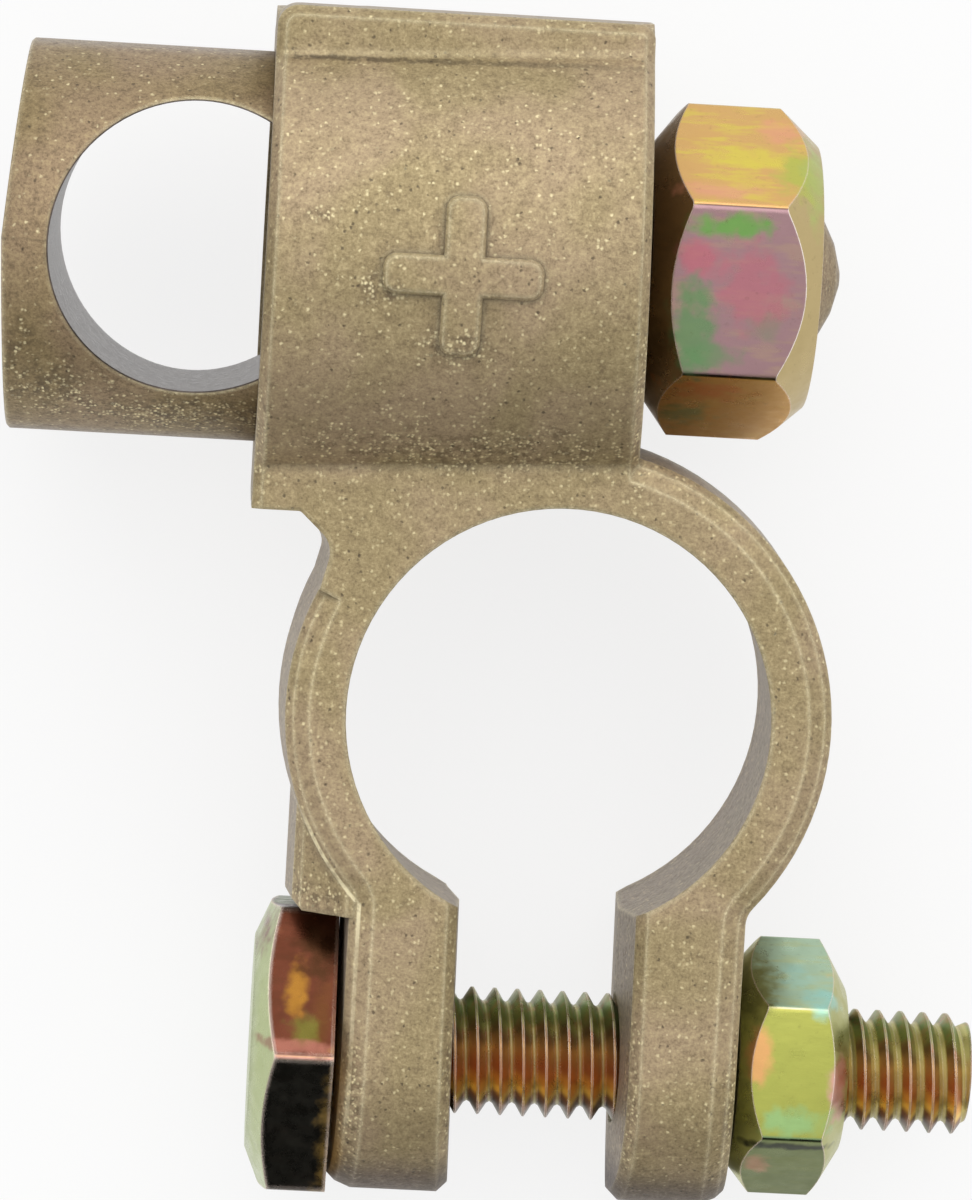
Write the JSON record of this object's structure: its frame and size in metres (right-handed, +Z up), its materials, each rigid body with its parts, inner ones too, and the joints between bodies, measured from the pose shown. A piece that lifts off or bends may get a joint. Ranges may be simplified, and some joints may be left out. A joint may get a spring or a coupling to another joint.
{
  "type": "battery terminal clamp",
  "caption": "Split ring clamp for a tapered battery post, with a hex bolt across its ears and a nut-drawn eye that pinches a cable in an arched housing.",
  "frame": {"origin": "axis of the post bore on the underside of the ring, the post's side", "axes": "+Z up out of the face with the raised plus sign, +X along the clamping bolt towards its nut, +Y from the ears towards the cable housing"},
  "size_m": [0.0441, 0.0517, 0.0221],
  "materials": {
    "casting": "shot-blasted casting",
    "eye": "shot-blasted casting, drilled hole bright",
    "plating": "yellow zinc plated"
  },
  "bodies": {
    "body": {"clamp_casting": "casting"},
    "eye": {"cable_eye": "eye"},
    "stud_nut": {"stud_nut": "plating"},
    "bolt": {"clamp_bolt": "plating"},
    "ear_nut": {"ear_nut": "plating"}
  },
  "joints": [
    {"name": "eye_slide", "type": "slide", "parent": "body", "child": "eye", "axis": [1, 0, 0], "range_m": [-0.001, 0.007]},
    {"name": "stud_nut_turn", "type": "hinge", "parent": "body", "child": "stud_nut", "pos_m": [0.0065, 0.01933, 0.0065], "axis": [-1, 0, 0], "range_deg": [-289, 2017]},
    {"name": "bolt_slide", "type": "slide", "parent": "body", "child": "bolt", "axis": [-1, 0, 0], "range_m": [0, 0.005]},
    {"name": "ear_nut_turn", "type": "hinge", "parent": "body", "child": "ear_nut", "pos_m": [0.0113, -0.01545, 0.0065], "axis": [1, 0, 0], "range_deg": [0, 1801]}
  ],
  "couplings": [
    {"joint": "stud_nut_turn", "follows": "eye_slide", "rad_per_m": 5026.5},
    {"joint": "ear_nut_turn", "follows": "bolt_slide", "rad_per_m": 6283.2}
  ]
}
